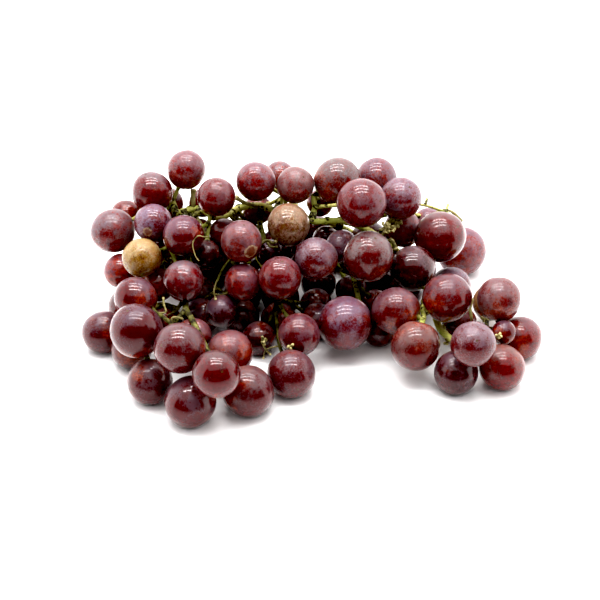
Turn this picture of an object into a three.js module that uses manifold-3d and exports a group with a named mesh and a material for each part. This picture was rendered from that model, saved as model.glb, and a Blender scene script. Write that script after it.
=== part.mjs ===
// A picked bunch of red table grapes lying on a table: a green main stem, and the
// sprays of berries that grow from it. Millimetres, +Z up, the table top at Z = 0.
import * as THREE from "three";
import { mergeVertices } from "three/addons/utils/BufferGeometryUtils.js";
import Module from "manifold-3d";

const wasm = await Module();
wasm.setup();

// The eye that looks at the bunch from the front, and how far away and how steeply.
const EYE_DISTANCE = 700;
const EYE_DROP = THREE.MathUtils.degToRad(32);
const SIGHT = new THREE.Vector3(0, Math.cos(EYE_DROP), -Math.sin(EYE_DROP));

// Berries: oval along their stalk, a little apart, and pressed flat where they lie.
// Their corners stand out a little, so that their faces keep the berry's size.
const BERRY_SIDES = 8;
const BERRY_BANDS = 6;
const BERRY_CORNERS = 1.02;
const BERRY_OVAL = 1.04;
const BERRY_GAP = 0.8;
const BERRY_PRESSED = 1;
const SETTLE_ROUNDS = 200;
const SIGHT_FAVOUR = 2;
const REACH = 10;

// Stems, by their radius.
const MAIN_RADIUS = 1.6;
const CUT_END_RADIUS = 2.3;
const BRANCH_RADIUS = 1.3;
const STALK_RADIUS = 0.9;
const TWIG_RADIUS = 0.65;
const STEM_GAP = 0.45;
const STEM_CLEAR = 0.7;
const STALK_SINK = 0.7;
const MAIN_STEP = 6;
const BRANCH_STEP = 6;
const STALK_STEP = 7;
const TWIG_STEP = 4;
const THREAD_ROUNDS = 80;

// The main stem, seen from the front from left to right: [across, up, level].
// Across and up are where a point is seen, at the middle of the bunch, and level
// is its height above the table.
const MAIN_STEM = [
  [-64.5, 45, 46],
  [-52.5, 47.5, 47],
  [-45, 43.5, 47],
  [-40.5, 43, 47],
  [-33.5, 47, 49],
  [-26, 49, 50],
  [-18.5, 48.5, 50],
  [-11.5, 46, 49],
  [1.5, 43.5, 48],
  [6, 41, 47],
  [22, 41, 47],
  [32, 38, 45],
  [48, 27.5, 40],
  [55, 19, 24],
  [64, 9, 16],
  [69, -3, 14],
  [73, -15, 13],
  [83, -24, 13],
];

// The stalk that the bunch was cut by, on the table's plan: [x, y, level].
const CUT_STALK = [
  [-4, 8, 47],
  [-4, 20, 44],
  [-3, 38, 38],
  [-2, 55, 34],
];

// Bare twigs that lost their berries, from the stem outwards: [across, up, level].
const BARE_TWIGS = {
  main_stem: [
    [
      [38, 34, 43],
      [52, 45.5, 48],
      [61.5, 49.5, 50],
      [66, 49, 50],
      [73.5, 46.5, 49],
      [77.5, 45, 47],
      [82, 41, 44],
    ],
    [
      [66, 49, 50],
      [66, 52.5, 51],
    ],
    [
      [77.5, 45, 47],
      [77, 49.5, 48],
    ],
  ],
  middle_left: [
    [
      [-34, 24, 36],
      [-40.5, 15.5, 30],
      [-45, 3.5, 25],
    ],
    [
      [-45, 3.5, 25],
      [-49.5, 1, 24],
    ],
    [
      [-43, 8, 27],
      [-37.5, 2.5, 24],
    ],
  ],
};

// The sprays. Each leaves the main stem where its first point is nearest to it.
// seen: [across, up, level, diameter], with level 0 for a berry on the table.
// behind: [x, y, level, diameter], for berries that the others hide from the front.
const SPRAYS = {
  left_crown: {
    route: [
      [-64.5, 45, 46],
      [-73, 46, 47],
    ],
    seen: [
      [-59.5, 67.5, 66, 19.5],
      [-76, 55, 57, 20.5],
      [-90.5, 44, 41, 16],
      [-97, 35.5, 42, 22],
      [-75.5, 40.5, 51, 19],
      [-69.5, 50.5, 46, 17],
    ],
    behind: [],
  },
  left_top: {
    route: [
      [-44, 44, 47],
      [-46.5, 46, 52],
    ],
    seen: [
      [-50.5, 49.5, 43, 15],
      [-43.5, 53.5, 63, 19],
      [-61, 33.5, 50, 20],
      [-49, 24, 38, 14],
    ],
    behind: [],
  },
  left_shoulder: {
    route: [
      [-61, 46, 46],
      [-66, 36, 40],
      [-70, 22, 34],
    ],
    seen: [
      [-81.5, 21, 39, 19],
      [-93, 15.5, 26, 17.5],
      [-75, 9.5, 25, 17],
      [-69.5, 23.5, 33, 17],
      [-60.5, 10, 35, 19.5],
    ],
    behind: [[-84, 14, 0, 20]],
  },
  left_wing: {
    route: [
      [-52, 47, 47],
      [-56, 22, 38],
      [-64, -1, 30],
      [-66, -9, 29],
      [-58, -17, 26],
      [-46, -26, 22],
      [-38, -32, 18],
    ],
    side: [
      [-66, -6, 29],
      [-72, -10, 26],
      [-75, -20, 20],
      [-80, -27, 19],
    ],
    seen: [
      [-85.5, 1, 32, 20],
      [-85, -16, 32, 24.5],
      [-101.5, -16.5, 0, 20.5],
      [-88, -25, 0, 19.5],
      [-89, -3, 14, 19],
      [-62.5, -25, 33, 23],
      [-55.5, -19, 20, 17.5],
      [-36.5, -27.5, 18, 21.5],
      [-43.5, -38.5, 30, 21.5],
      [-27, -47.5, 0, 23.5],
      [-78, -42.5, 0, 21],
      [-57, -53, 0, 23],
    ],
    behind: [[-64, -34, 0, 18]],
  },
  middle_left: {
    route: [
      [-36, 46, 49],
      [-32, 36, 42],
      [-35, 20, 34],
    ],
    seen: [
      [-30.5, 28, 48, 20],
      [-31, 9.5, 32, 18],
      [-39.5, 34.5, 42, 15],
      [-38, -6, 14, 16],
    ],
    behind: [
      [-40, 2, 24, 18],
      [-51, -31, 0, 18],
      [-31, -32, 0, 18],
    ],
  },
  middle_crown: {
    route: [
      [-12, 46.5, 49],
      [-11, 54, 54],
      [-9, 57, 56],
    ],
    seen: [
      [-21.5, 61.5, 66, 19.5],
      [-3, 60, 65, 18.5],
      [-10.5, 64.5, 58, 15.5],
      [-22, 47, 44, 15],
      [-6, 39, 53, 21],
    ],
    behind: [],
  },
  middle_low: {
    route: [
      [-20, 48.5, 50],
      [-14, 30, 34],
      [-12, 14, 20],
      [-10, -4, 16],
    ],
    seen: [
      [-10.5, 11.5, 38, 20.5],
      [-4.5, -38.5, 0, 22.5],
      [-0.5, -18, 19, 20],
      [-21, -19, 0, 16.5],
      [-15.5, 24, 34, 14],
    ],
    behind: [
      [-11, -33, 0, 18],
      [9, -32, 0, 18],
      [6, -14, 0, 16],
    ],
  },
  middle_right: {
    route: [
      [21, 41, 47],
      [20, 32, 34],
      [25, 18, 24],
      [29, 6, 20],
      [31, -2, 20],
    ],
    seen: [
      [8.5, 21.5, 42, 20.5],
      [21.5, 28, 35, 16.5],
      [35.5, 22.5, 43, 24.5],
      [23.5, -12, 17, 26],
      [39.5, -2, 0, 15],
      [13.5, 32, 33, 13],
    ],
    behind: [],
  },
  right_crown: {
    route: [
      [6, 41, 47],
      [4, 49, 53],
      [7, 54, 57],
    ],
    seen: [
      [32, 50.5, 65, 24],
      [18.5, 61.5, 64, 24],
      [10.5, 50.5, 47, 14],
    ],
    behind: [],
  },
  right_top: {
    route: [
      [33, 38, 45],
      [42, 42, 46],
      [46, 45, 47],
    ],
    seen: [
      [40, 63, 60, 21],
      [52, 52.5, 58, 21],
      [54, 37, 37, 19],
      [67, 40, 33, 16],
    ],
    behind: [],
  },
  right_shoulder: {
    route: [
      [55, 19, 24],
      [63, 23, 22],
      [68, 24, 21],
    ],
    seen: [
      [72.5, 33.5, 40, 25.5],
      [84, 25.5, 0, 26],
      [59, 17.5, 33, 22.5],
    ],
    behind: [
      [62, 14, 0, 18],
      [53, -1, 0, 18],
    ],
  },
  right_wing: {
    route: [
      [70, -5, 14],
      [66, -11, 20],
      [62, -16, 24],
    ],
    seen: [
      [76.5, 1, 29, 23.5],
      [78.5, 7, 15, 20],
      [51, -8.5, 23, 23],
      [60.5, -23, 17, 23],
      [42, -17, 0, 16],
    ],
    behind: [],
  },
  right_wing_tip: {
    route: [
      [83, -24, 13],
      [92, -19, 18],
      [103, -20, 18],
    ],
    seen: [
      [104, -2, 28, 21],
      [99, -1.5, 12, 18],
      [114, -20, 0, 21.5],
      [90, -23, 29, 21],
      [105, -35, 0, 21.5],
      [79, -37, 0, 20.5],
      [105.5, -15, 20, 11.5],
    ],
    behind: [[79, -33, 0, 17]],
  },
  back_left: {
    route: [
      [-57.5, 46.5, 46],
      [-58, 44, 34],
      [-54, 41, 24],
    ],
    seen: [],
    behind: [
      [-64, 26, 0, 20],
      [-43, 31, 0, 21],
      [-52, 17, 29, 19],
      [-51, -9, 0, 19],
      [-66, 4, 20, 17],
      [-47, 11, 0, 19],
    ],
  },
  back_middle: {
    route: [
      [-32, 47.5, 49],
      [-33, 43, 38],
      [-26, 39, 26],
    ],
    seen: [],
    behind: [
      [-21, 32, 0, 20],
      [0, 33, 0, 21],
      [-32, 17, 28, 18],
      [-29, -13, 0, 19],
      [-8, -12, 0, 19],
      [-12, 8, 26, 19],
      [-20, 8, 0, 20],
    ],
  },
  back_right: {
    route: [
      [14, 41, 47],
      [24, 40, 34],
      [26, 36, 24],
    ],
    seen: [],
    behind: [
      [20, 35, 0, 20],
      [41, 31, 0, 21],
      [9, 21, 28, 18],
      [36, 17, 27, 19],
      [12, 1, 0, 18],
      [27, 1, 0, 17],
      [39, 5, 0, 19],
    ],
  },
};

// The point seen at (across, up) that lies at a level above the table.
function onSightLine(across, up, level) {
  const drop = Math.sin(EYE_DROP);
  const run = Math.cos(EYE_DROP);
  const sight = new THREE.Vector3(
    across / EYE_DISTANCE,
    run + (drop * up) / EYE_DISTANCE,
    (run * up) / EYE_DISTANCE - drop,
  );
  const eye = new THREE.Vector3(0, -EYE_DISTANCE * run, EYE_DISTANCE * drop);
  return sight.multiplyScalar((level - eye.z) / sight.z).add(eye);
}

function seenPoints(list) {
  return list.map(([across, up, level]) => onSightLine(across, up, level));
}

// Every berry as a ball: its centre, its radius, its spray, and whether it lies on the table.
function readBerries() {
  const berries = [];
  for (const [spray, { seen, behind }] of Object.entries(SPRAYS)) {
    for (const [list, place] of [
      [seen, onSightLine],
      [behind, (x, y, level) => new THREE.Vector3(x, y, level)],
    ]) {
      for (const [first, second, level, diameter] of list) {
        const radius = diameter / 2;
        const lies = level === 0;
        const centre = place(first, second, lies ? radius - BERRY_PRESSED : level);
        berries.push({ spray, centre, radius, lies });
      }
    }
  }
  return berries;
}

// How far a ball has to move from another to have its room, mostly along the line of sight.
function pushApart(from, to, room) {
  const between = to.clone().sub(from);
  const distance = between.length();
  if (distance >= room) return null;
  between.divideScalar(distance);
  const push = between.clone().addScaledVector(SIGHT, SIGHT_FAVOUR * between.dot(SIGHT));
  push.normalize();
  return push.multiplyScalar((room - distance) / push.dot(between));
}

// Berries that would share space with each other or with a stem move apart.
function settle(berries, stems) {
  const pairs = [];
  berries.forEach((one, i) => {
    for (const other of [...berries.slice(0, i), ...stems]) {
      const room = one.radius + other.radius + BERRY_GAP;
      const distance = one.centre.distanceTo(other.centre);
      if (distance < room + REACH) pairs.push({ one, other, room });
    }
  });
  for (let round = 0; round < SETTLE_ROUNDS; round += 1) {
    for (const { one, other, room } of pairs) {
      const push = pushApart(other.centre, one.centre, room);
      if (push) {
        const share = other.fixed ? 1 : 0.5;
        one.centre.addScaledVector(push, share);
        other.centre.addScaledVector(push, share - 1);
      }
    }
    for (const { centre, radius, lies } of berries) {
      centre.z = lies ? radius - BERRY_PRESSED : Math.max(centre.z, radius + BERRY_GAP);
    }
  }
}

// Points a step apart along a line of points.
function evenly(points, step) {
  const path = new THREE.CurvePath();
  for (let i = 1; i < points.length; i += 1) {
    path.add(new THREE.LineCurve3(points[i - 1], points[i]));
  }
  const count = Math.max(2, Math.round(path.getLength() / step));
  return path.getSpacedPoints(count).map((point) => point.clone());
}

// A stem pulled tight between the ends of a line, that goes round what is in its way.
function thread(points, step, radius, balls, heldPoints = 1) {
  const line = evenly(points, step);
  const near = balls.filter((ball) =>
    line.some((point) => point.distanceTo(ball.centre) < ball.radius + radius + REACH),
  );
  for (let round = 0; round < THREAD_ROUNDS; round += 1) {
    const pull = round < THREAD_ROUNDS - 20 ? 0.4 : 0;
    for (let i = heldPoints; i < line.length - 1; i += 1) {
      line[i].lerp(line[i - 1].clone().add(line[i + 1]).multiplyScalar(0.5), pull);
      for (const ball of near) {
        const room = ball.radius + radius + STEM_CLEAR;
        const out = line[i].clone().sub(ball.centre);
        if (out.length() < room) line[i].copy(ball.centre).add(out.setLength(room));
      }
      line[i].z = Math.max(line[i].z, radius + STEM_CLEAR);
    }
  }
  return line;
}

function solidOf(geometry) {
  geometry.deleteAttribute("normal");
  geometry.deleteAttribute("uv");
  const merged = mergeVertices(geometry, 1e-4);
  return new wasm.Manifold(
    new wasm.Mesh({
      numProp: 3,
      vertProperties: merged.attributes.position.array,
      triVerts: new Uint32Array(merged.index.array),
    }),
  );
}

// Points a step apart along a smooth line through a few points.
function smoothly(points, step) {
  const curve = new THREE.CatmullRomCurve3(points);
  return curve.getSpacedPoints(Math.max(1, Math.round(curve.getLength() / step)));
}

// A round rod of a few sides along a line of points.
function rod(points, radius, sides) {
  const outline = [];
  for (let i = 0; i < sides; i += 1) {
    const turn = (2 * Math.PI * i) / sides;
    outline.push(new THREE.Vector2(radius * Math.cos(turn), radius * Math.sin(turn)));
  }
  const extrudePath = new THREE.CatmullRomCurve3(points);
  const steps = points.length - 1;
  return solidOf(new THREE.ExtrudeGeometry(new THREE.Shape(outline), { extrudePath, steps }));
}

// What lies below the table top, taken off the berries that lie on it.
const BELOW_TABLE = solidOf(new THREE.BoxGeometry(600, 600, 100).translate(0, 0, -50));

function berrySolid({ centre, radius, pole, lies }) {
  const profile = [];
  for (let i = 0; i <= BERRY_BANDS; i += 1) {
    const turn = (Math.PI * i) / BERRY_BANDS - Math.PI / 2;
    const onAxis = i === 0 || i === BERRY_BANDS;
    const out = onAxis ? 0 : BERRY_CORNERS * radius * Math.cos(turn);
    const along = BERRY_CORNERS * BERRY_OVAL * radius * Math.sin(turn);
    profile.push(new THREE.Vector2(out, along));
  }
  const turned = new THREE.Quaternion().setFromUnitVectors(new THREE.Vector3(0, 1, 0), pole);
  const ball = new THREE.LatheGeometry(profile, BERRY_SIDES);
  ball.applyQuaternion(turned).translate(...centre);
  return lies ? solidOf(ball).subtract(BELOW_TABLE) : solidOf(ball);
}

// The place on a line of points that is nearest to a point.
function nearest(line, point) {
  return line.reduce((best, place) =>
    place.distanceTo(point) < best.distanceTo(point) ? place : best,
  );
}

// A stalk from the best place on the spray's stems to a berry, and the berry's pole.
function growStalk(berry, stems, berries, balls) {
  const line = new THREE.Line3();
  const close = new THREE.Vector3();
  const costOf = (start) => {
    line.set(start, berry.centre);
    let cost = line.distance();
    for (const { centre, radius } of berries) {
      if (centre !== berry.centre) {
        line.closestPointToPoint(centre, true, close);
        cost += 3 * Math.max(0, radius + STALK_RADIUS - close.distanceTo(centre));
      }
    }
    return cost;
  };
  const costs = stems.map(costOf);
  const start = stems[costs.indexOf(Math.min(...costs))];
  const others = balls.filter((ball) => ball !== berry);
  const stalk = thread([start, berry.centre], STALK_STEP / 2, STALK_RADIUS, others);
  const clear = stalk.filter(
    (point, i) => i === 0 || point.distanceTo(berry.centre) > 1.1 * berry.radius,
  );
  const outside = clear.length > 1 ? smoothly(clear, STALK_STEP) : clear;
  berry.pole = outside.at(-1).clone().sub(berry.centre).normalize();
  const end = berry.centre.clone().addScaledVector(berry.pole, STALK_SINK * berry.radius);
  return [...outside, end];
}

const berries = readBerries();
const mainLine = smoothly(seenPoints(MAIN_STEM), MAIN_STEP);
const mainFine = smoothly(seenPoints(MAIN_STEM), 0.5);
const cutPoints = CUT_STALK.map((point) => new THREE.Vector3(...point));
cutPoints[0] = nearest(mainLine, cutPoints[0]).clone();
const cutLine = smoothly(cutPoints, MAIN_STEP);
const mainTwigs = growTwigs("main_stem", [...mainLine]);
const ballsOf = (points, radius) => points.map((centre) => ({ centre, radius, fixed: true }));
const stemBalls = [
  ...ballsOf(mainLine, MAIN_RADIUS),
  ...ballsOf(cutLine, CUT_END_RADIUS),
  ...mainTwigs.flatMap(({ points }) => ballsOf(points, TWIG_RADIUS)),
];
settle(berries, stemBalls);

// The bare twigs of a piece, each grown from the nearest place on the stems before it.
function growTwigs(name, stems) {
  return (BARE_TWIGS[name] ?? []).map((twig) => {
    const corners = seenPoints(twig);
    corners[0] = nearest(stems, corners[0]).clone();
    const points = smoothly(corners, TWIG_STEP);
    stems.push(...points);
    return { points, radius: TWIG_RADIUS, sides: 4 };
  });
}

// The stems of the sprays that have grown so far, as balls along them.
const grown = [];

// A spray's stems, as lines of points that each have a radius and a number of sides.
function growSpray(name) {
  const { route, side } = SPRAYS[name];
  const own = berries.filter((berry) => berry.spray === name);
  const [first, ...way] = seenPoints(route);
  const root = nearest(mainFine, first);
  const at = Math.min(mainFine.indexOf(root), mainFine.length - 2);
  const along = mainFine[at + 1].clone().sub(mainFine[at]).normalize();
  const outwards = way[0].clone().sub(root);
  outwards.addScaledVector(along, -outwards.dot(along)).normalize();
  const start = root.clone().addScaledVector(outwards, MAIN_RADIUS + STEM_GAP);
  way.unshift(start.clone().addScaledVector(outwards, BRANCH_STEP));
  const farStems = stemBalls.filter(({ centre }) => centre.distanceTo(root) > 1.5 * BRANCH_STEP);
  const nearBalls = [...berries, ...farStems, ...grown];
  const branch = thread([start, ...way], BRANCH_STEP, BRANCH_RADIUS, nearBalls, 2);
  const balls = [...berries, ...stemBalls, ...grown];
  const rods = [{ points: branch, radius: BRANCH_RADIUS, sides: 5 }];
  const stems = branch.slice(1);
  if (side) {
    const [fork, ...rest] = seenPoints(side);
    const points = thread([nearest(stems, fork), ...rest], BRANCH_STEP, BRANCH_RADIUS, balls);
    rods.push({ points, radius: BRANCH_RADIUS, sides: 5 });
    stems.push(...points.slice(1));
  }
  rods.push(...growTwigs(name, [...stems]));
  const inTurn = own
    .map((berry) => [nearest(branch, berry.centre).distanceTo(berry.centre), berry])
    .sort(([one], [other]) => one - other);
  for (const [, berry] of inTurn) {
    const points = growStalk(berry, stems, berries, balls);
    rods.push({ points, radius: STALK_RADIUS, sides: 4 });
    stems.push(...points.slice(1, Math.ceil(points.length / 2)));
  }
  for (const { points, radius } of rods) {
    grown.push(...ballsOf(smoothly(points, 2 * radius), radius));
  }
  return { name, own, rods };
}

function paint(name, roughness, colour, solid) {
  const { vertProperties, triVerts } = solid.getMesh();
  const geometry = new THREE.BufferGeometry();
  geometry.setAttribute("position", new THREE.BufferAttribute(new Float32Array(vertProperties), 3));
  geometry.setIndex(new THREE.BufferAttribute(new Uint32Array(triVerts), 1));
  geometry.computeVertexNormals();
  const mesh = new THREE.Mesh(
    geometry,
    new THREE.MeshStandardMaterial({ color: colour, roughness, metalness: 0 }),
  );
  mesh.name = name;
  return mesh;
}

const joined = (solids) => solids.reduce((whole, solid) => whole.add(solid));
const rodsOf = (rods) => rods.map(({ points, radius, sides }) => rod(points, radius, sides));

const bunch = new THREE.Group();
const sprays = Object.keys(SPRAYS).map(growSpray);

for (const { name, own, rods } of sprays) {
  bunch.add(paint(name, 0.45, 0x6b1f2e, joined([...rodsOf(rods), ...own.map(berrySolid)])));
}

const mainSolids = [
  rod(mainLine, MAIN_RADIUS, 6),
  rod(cutLine, CUT_END_RADIUS, 6),
  ...rodsOf(mainTwigs),
];
bunch.add(paint("main_stem", 0.6, 0x8f9a4a, joined(mainSolids)));

// The origin is under the middle of the bunch, on the table.
const low = new THREE.Vector3(Infinity, Infinity, Infinity);
const high = low.clone().negate();
for (const { centre, radius } of [...berries, { centre: cutLine.at(-1), radius: 0 }]) {
  low.min(centre.clone().subScalar(radius));
  high.max(centre.clone().addScalar(radius));
}
bunch.position.set(-(low.x + high.x) / 2, -(low.y + high.y) / 2, 0);

export default bunch;
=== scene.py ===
import math
import random

import bpy
from mathutils import Matrix, Vector


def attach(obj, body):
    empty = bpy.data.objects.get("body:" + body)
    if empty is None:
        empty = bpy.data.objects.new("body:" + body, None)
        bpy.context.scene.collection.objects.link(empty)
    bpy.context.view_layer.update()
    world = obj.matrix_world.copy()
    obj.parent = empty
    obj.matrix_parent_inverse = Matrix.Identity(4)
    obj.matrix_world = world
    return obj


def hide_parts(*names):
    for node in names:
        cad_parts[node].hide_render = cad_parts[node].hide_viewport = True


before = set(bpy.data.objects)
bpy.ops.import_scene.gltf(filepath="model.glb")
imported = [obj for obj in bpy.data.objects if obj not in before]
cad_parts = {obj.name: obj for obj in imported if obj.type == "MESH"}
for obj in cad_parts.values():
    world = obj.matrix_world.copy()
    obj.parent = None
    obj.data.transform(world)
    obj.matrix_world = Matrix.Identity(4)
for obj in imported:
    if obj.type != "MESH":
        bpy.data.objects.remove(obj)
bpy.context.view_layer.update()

# The main stem: a green stem across the top of the bunch, broken off at its right end, with
# the thick stalk that the bunch was cut by and bare twigs that lost their berries. The whole
# bunch grew from it. Lengths are in millimetres up to the meshes, which are in metres.
MAIN_RADIUS = 1.6
CUT_END_RADIUS = 2.3
TWIG_RADIUS = 0.65
MAIN_STEP = 6
FINE_STEP = 0.5
TWIG_STEP = 4
# From left to right, each point is (across, up, level): where it is seen at the middle of
# the bunch, and how high it is over the table.
MAIN_STEM = [
    (-64.5, 45, 46), (-52.5, 47.5, 47), (-45, 43.5, 47), (-40.5, 43, 47), (-33.5, 47, 49),
    (-26, 49, 50), (-18.5, 48.5, 50), (-11.5, 46, 49), (1.5, 43.5, 48), (6, 41, 47), (22, 41, 47),
    (32, 38, 45), (48, 27.5, 40), (55, 19, 24), (64, 9, 16), (69, -3, 14), (73, -15, 13),
    (83, -24, 13),
]
# The cut stalk's points are (x, y, level).
CUT_STALK = [(-4, 8, 47), (-4, 20, 44), (-3, 38, 38), (-2, 55, 34)]
BARE_TWIGS = {
    "main_stem": [
        [
            (38, 34, 43), (52, 45.5, 48), (61.5, 49.5, 50), (66, 49, 50), (73.5, 46.5, 49),
            (77.5, 45, 47), (82, 41, 44),
        ],
        [(66, 49, 50), (66, 52.5, 51)],
        [(77.5, 45, 47), (77, 49.5, 48)],
    ],
    "middle_left": [
        [(-34, 24, 36), (-40.5, 15.5, 30), (-45, 3.5, 25)],
        [(-45, 3.5, 25), (-49.5, 1, 24)],
        [(-43, 8, 27), (-37.5, 2.5, 24)],
    ],
}
# The eye that sees them is in front of the bunch and a little above it.
EYE_DISTANCE = 700
EYE_DROP = math.radians(32)
RUN, DROP = math.cos(EYE_DROP), math.sin(EYE_DROP)
EYE = Vector((0, -EYE_DISTANCE * RUN, EYE_DISTANCE * DROP))
SIGHT = Vector((0, RUN, -DROP))
CURVE_PIECES = 40


def seen_at(across, up, level):
    """The point seen at (across, up) that lies at a level over the table."""
    sight = Vector((across, RUN * EYE_DISTANCE + DROP * up, RUN * up - DROP * EYE_DISTANCE))
    return EYE + sight * ((level - EYE.z) / sight.z)


def seen_points(rows):
    return [seen_at(*row) for row in rows]


def along(points, gaps):
    """The points at those shares of a line's length."""
    lengths = [0]
    for start, end in zip(points, points[1:]):
        lengths.append(lengths[-1] + (end - start).length)
    found = []
    i = 1
    for gap in gaps:
        wanted = gap * lengths[-1]
        while i < len(points) - 1 and lengths[i] < wanted:
            i += 1
        share = (wanted - lengths[i - 1]) / (lengths[i] - lengths[i - 1])
        found.append(points[i - 1].lerp(points[i], share))
    return found


def evenly(points, step):
    """Points about a step apart along a line, which keeps its ends."""
    length = sum((end - start).length for start, end in zip(points, points[1:]))
    count = max(2, math.floor(length / step + 0.5))
    return along(points, [i / count for i in range(count + 1)])


def rounded(points):
    """A fine line through the points, with no corners."""
    ends = [points[0] * 2 - points[1], *points, points[-1] * 2 - points[-2]]
    line = []
    for before, start, end, after in zip(ends, ends[1:], ends[2:], ends[3:]):
        first = math.sqrt((start - before).length)
        middle = math.sqrt((end - start).length)
        last = math.sqrt((after - end).length)
        leave = (start - before) / first - (end - before) / (first + middle)
        leave = (leave + (end - start) / middle) * middle
        reach = (end - start) / middle - (after - start) / (middle + last)
        reach = (reach + (after - end) / last) * middle
        for i in range(CURVE_PIECES):
            t = i / CURVE_PIECES
            rise = start * (2 * t**3 - 3 * t**2 + 1) + end * (3 * t**2 - 2 * t**3)
            line.append(rise + leave * (t**3 - 2 * t**2 + t) + reach * (t**3 - t**2))
    return [*line, points[-1].copy()]


def smoothly(points, step):
    """Points about a step apart on the line with no corners."""
    line = rounded(points)
    length = sum((end - start).length for start, end in zip(line, line[1:]))
    count = max(1, math.floor(length / step + 0.5))
    return along(line, [i / count for i in range(count + 1)])


def nearest(line, point):
    return min(line, key=lambda place: (place - point).length)


def grow_twigs(name, stems):
    """The bare twigs of a stem or spray, each from the nearest of its points."""
    twigs = []
    for rows in BARE_TWIGS.get(name, []):
        corners = seen_points(rows)
        corners[0] = nearest(stems, corners[0])
        points = smoothly(corners, TWIG_STEP)
        stems += points
        twigs.append((points, TWIG_RADIUS))
    return twigs


main_line = smoothly(seen_points(MAIN_STEM), MAIN_STEP)
main_fine = smoothly(seen_points(MAIN_STEM), FINE_STEP)
cut_points = [Vector(row) for row in CUT_STALK]
cut_points[0] = nearest(main_line, cut_points[0])
cut_line = smoothly(cut_points, MAIN_STEP)
main_twigs = grow_twigs("main_stem", list(main_line))


# The sprays: a branch each, from the main stem, with the berries that grow on its stalks. The
# berries are firm, and pressed flat where they lie on the table. They are pushed apart until
# none touches another, more along the line of sight than across it.
BERRY_GAP = 0.8
PRESSED = 1
SETTLE_ROUNDS = 200
SIGHT_FAVOUR = 2
REACH = 10
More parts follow.
